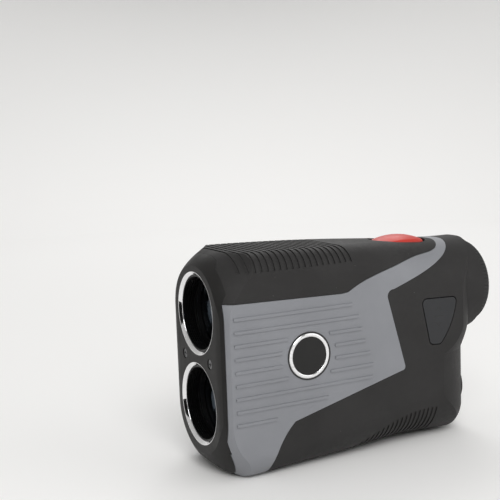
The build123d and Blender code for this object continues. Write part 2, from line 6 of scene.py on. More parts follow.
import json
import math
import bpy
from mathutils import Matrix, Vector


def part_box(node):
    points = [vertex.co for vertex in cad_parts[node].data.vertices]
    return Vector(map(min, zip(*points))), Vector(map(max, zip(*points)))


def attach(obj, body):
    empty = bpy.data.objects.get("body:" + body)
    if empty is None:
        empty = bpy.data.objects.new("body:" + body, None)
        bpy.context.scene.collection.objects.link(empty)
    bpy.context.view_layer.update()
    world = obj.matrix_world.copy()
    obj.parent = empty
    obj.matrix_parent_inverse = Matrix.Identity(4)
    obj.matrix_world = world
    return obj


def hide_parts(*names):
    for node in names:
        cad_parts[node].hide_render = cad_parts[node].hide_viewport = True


bl_info = {
    "name": "Golf laser rangefinder",
    "version": (1, 0, 0),
    "blender": (4, 5, 0),
    "location": "3D View > Sidebar > Rangefinder",
    "description": "Dresses the rangefinder's CAD frame with surfaces, finishes and a stage",
    "category": "Object",
}

import bmesh
import bpy
import numpy as np
from bpy.props import FloatProperty, FloatVectorProperty, IntProperty, PointerProperty
from mathutils import Matrix

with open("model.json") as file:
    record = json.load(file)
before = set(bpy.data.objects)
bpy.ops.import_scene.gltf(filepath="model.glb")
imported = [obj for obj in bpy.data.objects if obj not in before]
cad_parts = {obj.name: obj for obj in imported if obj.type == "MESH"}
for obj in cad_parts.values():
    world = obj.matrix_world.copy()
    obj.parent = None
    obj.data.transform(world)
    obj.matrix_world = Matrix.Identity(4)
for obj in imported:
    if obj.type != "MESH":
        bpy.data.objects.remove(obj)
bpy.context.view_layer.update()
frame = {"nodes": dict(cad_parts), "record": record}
HOUSING = "housing"
MM = 0.001               # profiles are written in millimetres, meshes in metres
RING_RIM = 14.0          # outer radius of the bright lens rings, millimetres
RING_WIDTH = 1.22        # bright width of those rings, millimetres
LENS_SEAT_X = 46.65      # rear of the bore in which the front lenses sit, millimetres
EDGE_ANGLE = 40.0        # degrees past which an edge of a new surface is sharp
LENS_EDGE_ANGLE = 30.0   # the same for lenses, whose rims are crisp
MERGE_REACH = 2e-7       # points nearer than this, in metres, become one


# ---------------------------------------------------------------- places read from the frame
def corners_of(node):
    """Lowest and highest corner of a node's box, as arrays in metres."""
    return tuple(np.array(corner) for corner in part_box(node))


def axis_of(node, axis=0):
    """Middle of a node's box, moved along one axis to 0: a point of the axis it turns about."""
    low, high = corners_of(node)
    middle = (low + high) / 2
    middle[axis] = 0
    return middle


def reach_of(node, axis):
    """Lowest and highest coordinate of a node along one axis, in millimetres."""
    low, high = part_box(node)
    return low[axis] / MM, high[axis] / MM


# ---------------------------------------------------------------- surfaces from arrays
def surface(name, points, wrap_u=False, wrap_v=False, smooth=EDGE_ANGLE):
    """Quads over a grid of points (rows u, columns v); wrapping joins the last row or column.

    The quad at (i, j) has the corners (i, j), (i+1, j), (i+1, j+1) and (i, j+1).
    """
    rows, cols = points.shape[:2]
    index = np.arange(rows * cols).reshape(rows, cols)
    if wrap_u:
        index = np.vstack([index, index[:1]])
    if wrap_v:
        index = np.hstack([index, index[:, :1]])
    a, b = index[:-1, :-1], index[1:, :-1]
    c, d = index[1:, 1:], index[:-1, 1:]
    quads = np.stack([a, b, c, d], axis=-1).reshape(-1, 4)
    return mesh_piece(name, points.reshape(-1, 3), quads, smooth)


def mesh_piece(name, points, quads, smooth):
    """A mesh object from arrays, with coincident points merged and edges sharp past an angle."""
    mesh = bpy.data.meshes.new(name)
    mesh.vertices.add(len(points))
    mesh.vertices.foreach_set("co", np.asarray(points, np.float32).ravel())
    mesh.loops.add(quads.size)
    mesh.loops.foreach_set("vertex_index", quads.ravel().astype(np.int32))
    mesh.polygons.add(len(quads))
    mesh.polygons.foreach_set("loop_start", np.arange(len(quads), dtype=np.int32) * 4)
    mesh.update(calc_edges=True)
    mesh.validate()
    merge_points(mesh)
    mesh.shade_smooth()
    mesh.set_sharp_from_angle(angle=math.radians(smooth))
    piece = bpy.data.objects.new(name, mesh)
    bpy.context.scene.collection.objects.link(piece)
    return piece


def merge_points(mesh):
    """Joins coincident points, so poles and seams are closed, and turns all faces one way."""
    work = bmesh.new()
    work.from_mesh(mesh)
    bmesh.ops.remove_doubles(work, verts=work.verts, dist=MERGE_REACH)
    bmesh.ops.dissolve_degenerate(work, edges=work.edges, dist=MERGE_REACH / 2)
    bmesh.ops.recalc_face_normals(work, faces=work.faces)
    work.to_mesh(mesh)
    work.free()


def softened(corners, radius, steps=5):
    """A closed profile whose corners become quadratic arcs that start `radius` before them.

    Each arc is (1-t)^2 A + 2t(1-t) P + t^2 B, with A and B on the two sides of corner P.
    An arc uses at most 0.48 of a side, so the arcs of two neighbours never cross.
    """
    most = 0.48
    p = np.asarray(corners, float)
    before, after = np.roll(p, 1, axis=0), np.roll(p, -1, axis=0)
    gap_b = np.linalg.norm(before - p, axis=1, keepdims=True)
    gap_a = np.linalg.norm(after - p, axis=1, keepdims=True)
    r = np.broadcast_to(np.asarray(radius, float).reshape(-1, 1), (len(p), 1))
    start = p + (before - p) * np.minimum(r / gap_b, most)
    end = p + (after - p) * np.minimum(r / gap_a, most)
    t = np.linspace(0, 1, steps)[None, :, None]
    arcs = (1 - t) ** 2 * start[:, None] + 2 * t * (1 - t) * p[:, None] + t ** 2 * end[:, None]
    return arcs.reshape(-1, 2)


def turned(name, profile, centre, body, slot, axis="X", segments=128, ripple=None,
           smooth=EDGE_ANGLE):
    """A solid of revolution: profile points (along, radius) carried round axis X or Y.

    Point (a, r) at angle w goes to centre + a * axis + r * (cos w, sin w) across the axis.
    `ripple(radius, angle)` may change the radius, as scallops and notches do.
    """
    angle = np.linspace(0, 2 * math.pi, segments, endpoint=False)[None, :]
    along, radius = (profile[:, k:k + 1] * MM for k in (0, 1))
    if ripple:
        radius = ripple(radius, angle)
    radius = np.broadcast_to(radius, (len(profile), segments))
    along = np.broadcast_to(along, radius.shape)
    across = radius * np.cos(angle), radius * np.sin(angle)
    order = {"X": (along, *across), "Y": (across[1], along, across[0])}
    points = np.stack(order[axis], axis=-1) + np.asarray(centre)
    piece = surface(name, points, wrap_u=True, wrap_v=True, smooth=smooth)
    return placed(piece, body, slot)


def placed(piece, body, slot):
    """Makes a piece ride on its body and gives it the finish of its slot."""
    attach(piece, body)
    piece.data.materials.clear()
    piece.data.materials.append(FINISHES[slot])
    return piece


# ---------------------------------------------------------------- shared effects as node groups
def new_group(name, inputs, outputs):
    """An empty shader group with named float, colour or vector sockets."""
    group = bpy.data.node_groups.new(name, "ShaderNodeTree")
    for label, kind, value in inputs:
        socket = group.interface.new_socket(label, in_out="INPUT", socket_type=f"NodeSocket{kind}")
        if value is not None:
            socket.default_value = value
    for label, kind in outputs:
        group.interface.new_socket(label, in_out="OUTPUT", socket_type=f"NodeSocket{kind}")
    ins = group.nodes.new("NodeGroupInput")
    outs = group.nodes.new("NodeGroupOutput")
    return group, ins, outs


def feed(tree, socket, value):
    """Links an output to a socket, or sets a number or a colour on it."""
    if isinstance(value, bpy.types.NodeSocket):
        tree.links.new(value, socket)
    elif isinstance(value, (int, float)):
        socket.default_value = value
    else:
        socket.default_value = (*value[:3], 1.0)


def noise(tree, vector, scale, detail=2.0, roughness=0.5):
    """A noise texture on a vector, with its scale set or linked."""
    node = tree.nodes.new("ShaderNodeTexNoise")
    node.inputs["Detail"].default_value = detail
    node.inputs["Roughness"].default_value = roughness
    tree.links.new(vector, node.inputs["Vector"])
    feed(tree, node.inputs["Scale"], scale)
    return node.outputs["Fac"]


def mapped(tree, value, low, high, to_low=0.0, to_high=1.0):
    """Remaps low..high to another range, clamped."""
    node = tree.nodes.new("ShaderNodeMapRange")
    tree.links.new(value, node.inputs["Value"])
    node.inputs["From Min"].default_value = low
    node.inputs["From Max"].default_value = high
    node.inputs["To Min"].default_value = to_low
    node.inputs["To Max"].default_value = to_high
    return node.outputs["Result"]


def maths(tree, operation, a, b):
    """One Math node on two values or sockets."""
    node = tree.nodes.new("ShaderNodeMath")
    node.operation = operation
    feed(tree, node.inputs[0], a)
    feed(tree, node.inputs[1], b)
    return node.outputs[0]


def grain_group():
    """Fine moulded texture: small bumps for the height and a slow mottle for tone."""
    group, ins, outs = new_group(
        "fine_grain",
        [("Vector", "Vector", None), ("Scale", "Float", 4000.0), ("Mottle Scale", "Float", 60.0)],
        [("Height", "Float"), ("Mottle", "Float")])
    vector = ins.outputs["Vector"]
    fine = noise(group, vector, ins.outputs["Scale"], detail=2.0, roughness=0.6)
    slow = noise(group, vector, ins.outputs["Mottle Scale"], detail=3.0, roughness=0.55)
    group.links.new(fine, outs.inputs["Height"])
    group.links.new(mapped(group, slow, low=0.35, high=0.65), outs.inputs["Mottle"])
    return group


def handling_group():
    """Patches that hands have polished, broken up by a finer noise."""
    group, ins, outs = new_group(
        "handling", [("Vector", "Vector", None), ("Scale", "Float", 45.0)], [("Mask", "Float")])
    vector = ins.outputs["Vector"]
    broad = noise(group, vector, ins.outputs["Scale"], detail=4.0, roughness=0.6)
    small = noise(group, vector, scale=700.0)
    patches = mapped(group, broad, low=0.4, high=0.7)
    breaks = mapped(group, small, low=0.2, high=0.7)
    group.links.new(maths(group, "MULTIPLY", patches, breaks), outs.inputs["Mask"])
    return group


def speck_group():
    """Sparse lint and dust: the centres of Voronoi cells, kept only where a noise is high."""
    group, ins, outs = new_group(
        "dust_specks",
        [("Vector", "Vector", None), ("Scale", "Float", 420.0), ("Size", "Float", 0.09)],
        [("Mask", "Float")])
    cells = group.nodes.new("ShaderNodeTexVoronoi")
    group.links.new(ins.outputs["Vector"], cells.inputs["Vector"])
    group.links.new(ins.outputs["Scale"], cells.inputs["Scale"])
    near = maths(group, "LESS_THAN", cells.outputs["Distance"], ins.outputs["Size"])
    drifts = noise(group, ins.outputs["Vector"], scale=130.0)
    where = mapped(group, drifts, low=0.55, high=0.62)
    group.links.new(maths(group, "MULTIPLY", near, where), outs.inputs["Mask"])
    return group


def scratch_group():
    """Hairline scratches: a noise stretched along one direction and cut to a thin band."""
    group, ins, outs = new_group(
        "hairlines",
        [("Vector", "Vector", None), ("Stretch", "Vector", (60.0, 2600.0, 900.0))],
        [("Mask", "Float")])
    stretch = group.nodes.new("ShaderNodeVectorMath")
    stretch.operation = "MULTIPLY"
    group.links.new(ins.outputs["Vector"], stretch.inputs[0])
    group.links.new(ins.outputs["Stretch"], stretch.inputs[1])
    value = noise(group, stretch.outputs[0], scale=1.0, detail=3.0, roughness=0.7)
    group.links.new(mapped(group, value, low=0.58, high=0.68), outs.inputs["Mask"])
    return group


# ---------------------------------------------------------------- finishes
FINISHES = {}
DUST = (0.13, 0.128, 0.125)
MIX_FIRST, MIX_SECOND, MIX_RESULT = 6, 7, 2     # a Mix node's colour sockets


class Finish:
    """One Principled material on Object coordinates, with helpers to add detail to it."""

    def __init__(self, slot, roughness, metallic=0.0):
        self.material = bpy.data.materials.new(slot)
        self.material.use_nodes = True
        self.tree = self.material.node_tree
        self.shader = self.tree.nodes["Principled BSDF"]
        self.shader.inputs["Roughness"].default_value = roughness
        self.shader.inputs["Metallic"].default_value = metallic
        self.where = self.tree.nodes.new("ShaderNodeTexCoord").outputs["Object"]
        FINISHES[slot] = self.material

    def effect(self, name, **values):
        """Places a shared group with its own values and gives back its outputs."""
        node = self.tree.nodes.new("ShaderNodeGroup")
        node.node_tree = bpy.data.node_groups[name]
        self.tree.links.new(self.where, node.inputs["Vector"])
        for label, value in values.items():
            node.inputs[label.replace("_", " ")].default_value = value
        return node.outputs

    def mix(self, mask, first, second):
        """Colour between two colours or sockets by a mask."""
        node = self.tree.nodes.new("ShaderNodeMix")
        node.data_type = "RGBA"
        self.tree.links.new(mask, node.inputs["Factor"])
        feed(self.tree, node.inputs[MIX_FIRST], first)
        feed(self.tree, node.inputs[MIX_SECOND], second)
        return node.outputs[MIX_RESULT]

    def colour(self, output):
        """Base colour from a node's output."""
        self.tree.links.new(output, self.shader.inputs["Base Color"])

    def roughness(self, mask, bare, masked):
        """Roughness from one value, where the mask is 0, to another, where it is 1."""
        value = mapped(self.tree, mask, 0, 1, bare, masked)
        self.tree.links.new(value, self.shader.inputs["Roughness"])

    def bump(self, height, strength, depth):
        """Relief from a height socket; depth in metres."""
        node = self.tree.nodes.new("ShaderNodeBump")
        node.inputs["Strength"].default_value = strength
        node.inputs["Distance"].default_value = depth
        self.tree.links.new(height, node.inputs["Height"])
        self.tree.links.new(node.outputs["Normal"], self.shader.inputs["Normal"])

    def set(self, **values):
        """Constants on the shader's own sockets."""
        for label, value in values.items():
            self.shader.inputs[label.replace("_", " ")].default_value = value


def shade(colour, factor):
    """The colour made lighter or darker."""
    return tuple(min(1.0, channel * factor) for channel in colour[:3])


def moulded(slot, colour, roughness, scale=3500.0, bump=0.35, depth=0.00004, mottle=0.12,
            specks=0.0):
    """Moulded plastic or rubber: grain, slow mottle, polished patches and, with specks, dust."""
    finish = Finish(slot, roughness)
    grain = finish.effect("fine_grain", Scale=scale)
    tone = finish.mix(grain["Mottle"], shade(colour, 1 - mottle), shade(colour, 1 + mottle))
    if specks:
        dust = finish.effect("dust_specks", Size=specks)
        tone = finish.mix(dust["Mask"], tone, DUST)
    finish.colour(tone)
    worn = finish.effect("handling")
    finish.roughness(worn["Mask"], min(1.0, roughness + 0.05), max(0.05, roughness - 0.13))
    finish.bump(grain["Height"], bump, depth)
    return finish


def metal(slot, colour, roughness, scratches=0.25):
    """Metal with hairlines in its roughness and a slight tone change."""
    finish = Finish(slot, roughness, 1.0)
    lines = finish.effect("hairlines")
    worn = finish.effect("handling")
    finish.colour(finish.mix(lines["Mask"], colour, shade(colour, 0.82)))
    finish.roughness(lines["Mask"], roughness, min(1.0, roughness + scratches))
    finish.bump(worn["Mask"], strength=0.06, depth=0.00002)


def make_finishes(look):
    """Every finish of the rangefinder, one for each slot of the record."""
    moulded("grip_rubber", look.rubber_colour, look.rubber_roughness, scale=5200.0, bump=0.5,
            depth=0.00005, mottle=0.1, specks=0.05).set(Specular_IOR_Level=0.22)
    moulded("bezel_plastic", look.bezel_colour, 0.5, scale=4200.0, bump=0.45,
            depth=0.00005, mottle=0.1, specks=0.04).set(Specular_IOR_Level=0.24)
    moulded("panel_plastic", look.panel_colour, look.panel_roughness, scale=6000.0, bump=0.25,
            depth=0.00003, mottle=0.035)
    moulded("button_rubber", look.key_colour, 0.48, scale=4600.0, bump=0.3,
            depth=0.00003, mottle=0.08).set(Specular_IOR_Level=0.35)
    moulded("red_plastic", look.red_colour, 0.42, scale=2600.0, bump=0.12,
            depth=0.00003, mottle=0.06).set(Specular_IOR_Level=0.35)
    moulded("badge_black", (0.0065, 0.0063, 0.0062), 0.3, scale=1500.0, bump=0.04,
            depth=0.00002, mottle=0.1).set(Specular_IOR_Level=0.35)
    moulded("tube_black", (0.0028, 0.0028, 0.003), 0.36, scale=2500.0,
            bump=0.2).set(Specular_IOR_Level=0.3)
    moulded("chassis_plastic", (0.03, 0.03, 0.031), 0.5)
    moulded("seal_rubber", (0.012, 0.012, 0.012), 0.62)
    moulded("chip_black", (0.012, 0.012, 0.013), 0.45)
    moulded("board_green", (0.012, 0.09, 0.035), 0.35, scale=900.0, bump=0.2,
            depth=0.00005, mottle=0.25)
    moulded("battery_wrap", (0.10, 0.12, 0.26), 0.3, scale=800.0, bump=0.1,
            depth=0.00003, mottle=0.1)
    metal("trim_chrome", (0.86, 0.86, 0.87), 0.07, scratches=0.12)
    metal("screw_steel", (0.16, 0.16, 0.165), 0.34)
    metal("magnet_metal", (0.6, 0.6, 0.62), 0.25)
    metal("bench_aluminium", (0.42, 0.42, 0.43), 0.45)
    metal("can_metal", (0.62, 0.62, 0.6), 0.3)
    metal("contact_brass", (0.75, 0.55, 0.25), 0.28)
    coated_glass(look)


def coated_glass(look):
    """Clear glass with a faint coating: a tint that changes slowly and a few dust specks."""
    clean, dusty = 0.02, 0.35
    glass = Finish("lens_glass", clean)
    tint = glass.effect("handling", Scale=30.0)
    glass.colour(glass.mix(tint["Mask"], look.glass_colour, shade(look.glass_colour, 0.92)))
    dust = glass.effect("dust_specks", Scale=500.0, Size=0.06)
    glass.roughness(dust["Mask"], clean, dusty)
    glass.set(Transmission_Weight=1.0, IOR=1.5, Specular_IOR_Level=0.16,
              Specular_Tint=(0.55, 0.75, 1.0, 1.0))


# ---------------------------------------------------------------- settings
class RangefinderLook(bpy.types.PropertyGroup):
    """Colours and finishes."""

    rubber_colour: FloatVectorProperty(
        name="Rubber", description="Soft-touch skin of the roof and rear", subtype="COLOR",
        size=3, min=0, max=1, default=(0.0262, 0.0252, 0.0250))
    bezel_colour: FloatVectorProperty(
        name="Bezel", description="Front frame round the lenses", subtype="COLOR",
        size=3, min=0, max=1, default=(0.0145, 0.0138, 0.0134))
    panel_colour: FloatVectorProperty(
        name="Panel", description="Inlaid side panels", subtype="COLOR",
        size=3, min=0, max=1, default=(0.222, 0.228, 0.246))
    red_colour: FloatVectorProperty(
        name="Roof button", description="Button that fires the laser", subtype="COLOR",
        size=3, min=0, max=1, default=(0.53, 0.030, 0.018))
    key_colour: FloatVectorProperty(
        name="Mode button", description="Side button", subtype="COLOR",
        size=3, min=0, max=1, default=(0.0215, 0.0222, 0.0245))
    glass_colour: FloatVectorProperty(
        name="Glass", description="Tint of the coated lenses", subtype="COLOR",
        size=3, min=0, max=1, default=(0.80, 0.88, 0.95))
    rubber_roughness: FloatProperty(
        name="Rubber roughness", description="Dullness of the soft-touch skin",
        subtype="FACTOR", min=0, max=1, default=0.62)
    panel_roughness: FloatProperty(
        name="Panel roughness", description="Dullness of the side panels",
        subtype="FACTOR", min=0, max=1, default=0.45)


class RangefinderSizes(bpy.types.PropertyGroup):
    """Small sizes that the smooth surfaces add to the frame."""

    ring_lip: FloatProperty(
        name="Ring lip", description="Rounding of the bright lens rings' front edge",
        unit="LENGTH", min=0, max=0.001, default=0.00012)
    cup_notches: IntProperty(
        name="Eyecup notches", description="Fine notches round the eyecup's rim",
        min=0, max=240, default=72)
    notch_depth: FloatProperty(
        name="Notch depth", description="Depth of the eyecup's notches",
        unit="LENGTH", min=0, max=0.001, default=0.00022)


# ---------------------------------------------------------------- operators
class RANGEFINDER_OT_finishes(bpy.types.Operator):
    """Builds the finishes and gives every CAD node the one of its slot."""

    bl_idname = "rangefinder.finishes"
    bl_label = "Finishes"

    def execute(self, context):
        for make in (grain_group, handling_group, speck_group, scratch_group):
            make()
        make_finishes(context.scene.rangefinder_look)
        slots = {part["node"]: part["material_slot"] for part in frame["record"]["subparts"]}
        for node, piece in frame["nodes"].items():
            piece.data.materials.clear()
            piece.data.materials.append(FINISHES[slots[node]])
        return {"FINISHED"}


class RANGEFINDER_OT_lens_rings(bpy.types.Operator):
    """Bright rings: a rounded lip at the face and a cone that narrows inwards."""

    bl_idname = "rangefinder.lens_rings"
    bl_label = "Lens rings"

    def execute(self, context):
        lip = context.scene.rangefinder_sizes.ring_lip / MM
        face_width, cone_depth = 0.18, 0.95
        sharp, eased = 0.05, 0.25
        for node in ("objective_trim_ring", "receiver_trim_ring"):
            (back, front), rim = reach_of(node, 0), reach_of(node, 1)[1]
            bore = rim - RING_WIDTH
            corners = [(back, rim), (front, rim), (front, rim - face_width),
                       (front - cone_depth, bore), (back, bore)]
            profile = softened(corners, [sharp, lip, lip, eased, sharp], 6)
            ring = turned(f"{node}.polished", profile, axis_of(node), HOUSING, "trim_chrome",
                          segments=160)
            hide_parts(node)
        return {"FINISHED"}


class RANGEFINDER_OT_front_lenses(bpy.types.Operator):
    """Front lenses: two spherical caps of radius (r^2 + h^2) / 2h on a plain rim."""

    bl_idname = "rangefinder.front_lenses"
    bl_label = "Front lenses"

    def execute(self, context):
        rear_bulge, rim_and_rear = 0.6, 2.2
        for node in ("objective_lens", "receiver_lens"):
            rear, front = reach_of(node, 0)
            ground_lens(node, HOUSING, rear_bulge, front - rear - rim_and_rear)
        return {"FINISHED"}


def ground_lens(node, body, rear_bulge, front_bulge):
    """Turns a lens about its node's axis, in place of that node."""
    rear, front = reach_of(node, 0)
    profile = lens_profile(rear, front, reach_of(node, 1)[1], rear_bulge, front_bulge)
    glass = turned(f"{node}.ground", profile, axis_of(node), body, "lens_glass",
                   smooth=LENS_EDGE_ANGLE)
    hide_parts(node)


def lens_profile(rear, front, radius, bulge_rear, bulge_front):
    """Half outline of a lens, from its rear vertex round the rim to its front vertex.

    A cap of height h on radius R is part of a ball of radius b = (R^2 + h^2) / 2h, and falls
    by b - sqrt(b^2 - r^2) at r from the axis.
    """
    r = np.linspace(0, radius, 24)

    def cap(bulge):
        ball = (radius ** 2 + bulge ** 2) / (2 * bulge)
        return ball - np.sqrt(ball ** 2 - r ** 2)

    back = np.stack([rear + cap(bulge_rear), r], axis=1)
    face = np.stack([front - cap(bulge_front), r], axis=1)[::-1]
    return np.vstack([back, face])


class RANGEFINDER_OT_lens_tubes(bpy.types.Operator):
    """Black tubes whose bores carry fine glare ridges: a saw wave of the distance along.

    Ridge radius is sleeve - gap - depth * ((x - x0) / pitch mod 1).
    """

    bl_idname = "rangefinder.lens_tubes"
    bl_label = "Lens tubes"

    def execute(self, context):
        bore_radius, seat_radius = 11.5, 12.36
        sleeve_reach, sleeve_wall = 0.8, 0.3      # how far the sleeve enters the ring
        gap, step = 0.05, 0.1                     # clearances, and the setback of the ridges
        ridge_run, ridge_pitch, ridge_depth, ridge_points = 3.6, 0.71, 0.38, 73
        for node in ("objective_tube", "receiver_tube"):
            (rear, front), outer = reach_of(node, 0), reach_of(node, 1)[1]
            mouth, sleeve = front + sleeve_reach, RING_RIM - RING_WIDTH - gap
            x = np.linspace(front - ridge_run, mouth - step, ridge_points)
            ridge = sleeve - step - ridge_depth * ((x - x[0]) / ridge_pitch % 1.0)
            bore = np.stack([x, ridge], axis=1)[::-1]
            outside = [(rear, bore_radius), (rear, outer), (front, outer), (front, sleeve),
                       (mouth, sleeve), (mouth, sleeve - sleeve_wall)]
            seat = [(LENS_SEAT_X, seat_radius), (LENS_SEAT_X - gap, bore_radius)]
            tube = turned(f"{node}.ridged", np.vstack([outside, bore, seat]), axis_of(node),
                          HOUSING, "tube_black", segments=112, smooth=25)
            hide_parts(node)
        return {"FINISHED"}


class RANGEFINDER_OT_roof_button(bpy.types.Operator):
    """Roof button: a superellipse |x/a|^n + |y/b|^n = 1 in plan with a double-curved crown.

    The crown falls by two circular arcs, one along and one across, and rolls over at its rim.
    """

    bl_idname = "rangefinder.roof_button"
    bl_label = "Roof button"

    def execute(self, context):
        low, high = corners_of("power_button")
        half = (high - low) / 2
        middle = (high + low) / 2
        angle = np.linspace(0, 2 * math.pi, 120, endpoint=False)[None, :]
        edge_x = superellipse(half[0], np.cos(angle))
        edge_y = superellipse(half[1], np.sin(angle))
        crown_share, rim_share = 0.90, 0.10           # of the way from middle to edge
        along_arc, across_arc = 0.023, 0.019          # radii of the crown, metres
        rim_fall, floor_lift = 0.0009, 0.0003         # metres
        quarter = np.linspace(0.15, 1, 8) * math.pi / 2
        crown_spread = np.linspace(0, crown_share, 20)
        spread = np.concatenate([crown_spread, crown_share + rim_share * np.sin(quarter)])
        roll = np.concatenate([np.zeros(20), 1 - np.cos(quarter)])
        spread, roll = spread[:, None], roll[:, None]
        x, y = edge_x * spread, edge_y * spread
        crown = high[2] - arc_drop(x, along_arc) - arc_drop(y, across_arc) - rim_fall * roll
        floor = np.full_like(x[-1:], low[2] + floor_lift)
        x = np.vstack([x, x[-1:], x[-1:] * 0])
        y = np.vstack([y, y[-1:], y[-1:] * 0])
        z = np.vstack([crown, floor, floor])
        points = np.stack([x + middle[0], y + middle[1], z], axis=-1)
        cap = surface("power_button.crown", points, wrap_v=True, smooth=50)
        placed(cap, "power_button", "red_plastic")
        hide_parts("power_button")
        return {"FINISHED"}


def superellipse(half, wave, power=2.4):
    """One coordinate of a superellipse from a cosine or sine w: half * sign(w) * |w|^(2/n)."""
    return half * np.sign(wave) * np.abs(wave) ** (2 / power)


def arc_drop(distance, radius):
    """How far a circle of that radius falls at a distance from its crest."""
    return radius - np.sqrt(np.maximum(radius ** 2 - distance ** 2, 0))


class RANGEFINDER_OT_mode_marks(bpy.types.Operator):
    """Generic marks on the mode button, slightly raised: a divider bar and two chevrons. The marks
    are real; their darker rubber is painted shade, the shade that engraved marks hold.
    """

    bl_idname = "rangefinder.mode_marks"
    bl_label = "Mode button marks"

    def execute(self, context):
        low, high = corners_of("mode_button")
        shift, height_share, width = 0.0004, 0.60, 0.00032      # metres, share, metres
        x = (low[0] + high[0]) / 2 + shift
        z = low[2] + height_share * (high[2] - low[2])
        strokes = {
            "mode_mark.bar": [(-2.0, 0.0), (2.0, 0.0)],
            "mode_mark.up": [(-1.1, 2.2), (0.0, 3.4), (1.1, 2.2)],
            "mode_mark.down": [(-1.0, -2.2), (0.0, -3.4), (1.0, -2.2)],
        }
        for name, path in strokes.items():
            path = np.array(path) * MM + (x, z)
            mark = stroke(name, path, width, "mode_button")
            # the marks' darker seal rubber is painted shade, standing in for the shade inside
            # engraved marks
            placed(mark, "mode_button", "seal_rubber")
        return {"FINISHED"}


def stroke(name, path, width, node):
    """A thin ribbon along a path in (x, z), laid on a node's outer face from the left.

    Its points stand off the path by up to half the width along the path's normal; the two
    middle rows of points are raised a little.
    """
    steps, rise = 9, 0.00004
    corners = np.arange(len(path))
    spot = np.linspace(0, len(path) - 1, steps * (len(path) - 1) + 1)
    centre = np.stack([np.interp(spot, corners, path[:, k]) for k in (0, 1)], axis=1)
    along = np.gradient(centre, axis=0)
    side = np.stack([-along[:, 1], along[:, 0]], axis=1)
    side /= np.linalg.norm(side, axis=1, keepdims=True)
    offsets = np.array([-1.0, -0.5, 0.5, 1.0])[None, :, None] * width / 2
    flat = centre[:, None, :] + side[:, None, :] * offsets
    height = outer_y(node, flat.reshape(-1, 2)).reshape(flat.shape[:2])
    height = height + np.array([0.0, rise, rise, 0.0])[None, :]
    points = np.stack([flat[..., 0], height, flat[..., 1]], axis=-1)
    return surface(name, points)


def outer_y(node, spots):
    """Y of a node's left face at each (x, z), by casting rays at its mesh from well outside."""
    piece, outside = frame["nodes"][node], 0.1
    hits = [piece.ray_cast((x, outside, z), (0, -1, 0)) for x, z in spots]
    return np.array([hit[1][1] if hit[0] else np.nan for hit in hits])


class RANGEFINDER_OT_eyepiece(bpy.types.Operator):
    """Soft eyecup with fine notches round its rim, and the two lenses behind it."""

    bl_idname = "rangefinder.eyepiece"
    bl_label = "Eyepiece"

    def execute(self, context):
        sizes = context.scene.rangefinder_sizes
        rear, front = reach_of("eyecup", 0)
        outer = reach_of("eyecup", 1)[1]
        mouth, socket, lip = 12.8, 13.4, 11.9         # inner radii, from the rear forwards
        bevel, lip_rear, lip_front = 0.9, 1.0, 1.6
        sharp, crisp, eased, soft = 0.02, 0.25, 0.3, 0.6
        corners = [(rear, mouth), (rear, outer - bevel), (rear + bevel, outer), (front, outer),
                   (front, socket), (rear + lip_front, socket), (rear + lip_front, lip),
                   (rear + lip_rear, lip)]
        profile = softened(corners, [eased, soft, soft, crisp, sharp, sharp, sharp, eased], 7)

        def notches(radius, angle):
            """Narrow dips of the outer radius, (0.5 + 0.5 cos(n w))^6 deep."""
            dip = (0.5 + 0.5 * np.cos(sizes.cup_notches * angle)) ** 6 * sizes.notch_depth
            return radius - at_rim(radius, outer - 0.5) * dip

        cup = turned("eyecup.soft", profile, axis_of("eyecup"), "diopter_ring", "seal_rubber",
                     segments=sizes.cup_notches * 8, ripple=notches)
        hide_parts("eyecup")
        for node, bulge in (("eye_lens", 1.2), ("field_lens", 1.0)):
            ground_lens(node, "diopter_ring", bulge, bulge)
        return {"FINISHED"}


def at_rim(radius, start):
    """1 where a radius in metres is past a start in millimetres, and 0 elsewhere."""
    return (radius > start * MM).astype(float)


class RANGEFINDER_OT_battery_door(bpy.types.Operator):
    """Battery cap's rim: a turned ring with a grip of shallow scallops, r - d (cos nw)^8."""

    bl_idname = "rangefinder.battery_door"
    bl_label = "Battery door"

    def execute(self, context):
        rear, outer = reach_of("battery_cap", 0)[0], reach_of("battery_cap", 1)[1]
        proud, cover = 0.12, 0.02                     # how far it stands past the cap
        inner, seat, skirt = 7.2, 8.2, 8.9            # inner radii, from the rear forwards
        bevel, shoulder, depth, wall = 0.9, 0.75, 2.5, 0.3
        corners = [(rear - proud, inner), (rear - proud, outer - bevel),
                   (rear + shoulder, outer + cover), (rear + depth, outer + cover),
                   (rear + depth, skirt), (rear + wall, seat), (rear + wall, inner)]
        profile = softened(corners, [0.15, 0.4, 0.3, 0.1, 0.1, 0.1, 0.1])
        waves, wave_depth = 12, 0.00025               # cos^8 makes two scallops a wave; metres

        def scallops(radius, angle):
            """Shallow dips of the outer radius, wave_depth * cos(waves * w)^8."""
            return radius - at_rim(radius, outer - 0.4) * wave_depth * np.cos(waves * angle) ** 8

        turned("battery_cap.rim", profile, axis_of("battery_cap"), "battery_cap",
               "bezel_plastic", segments=192, ripple=scallops)
        return {"FINISHED"}


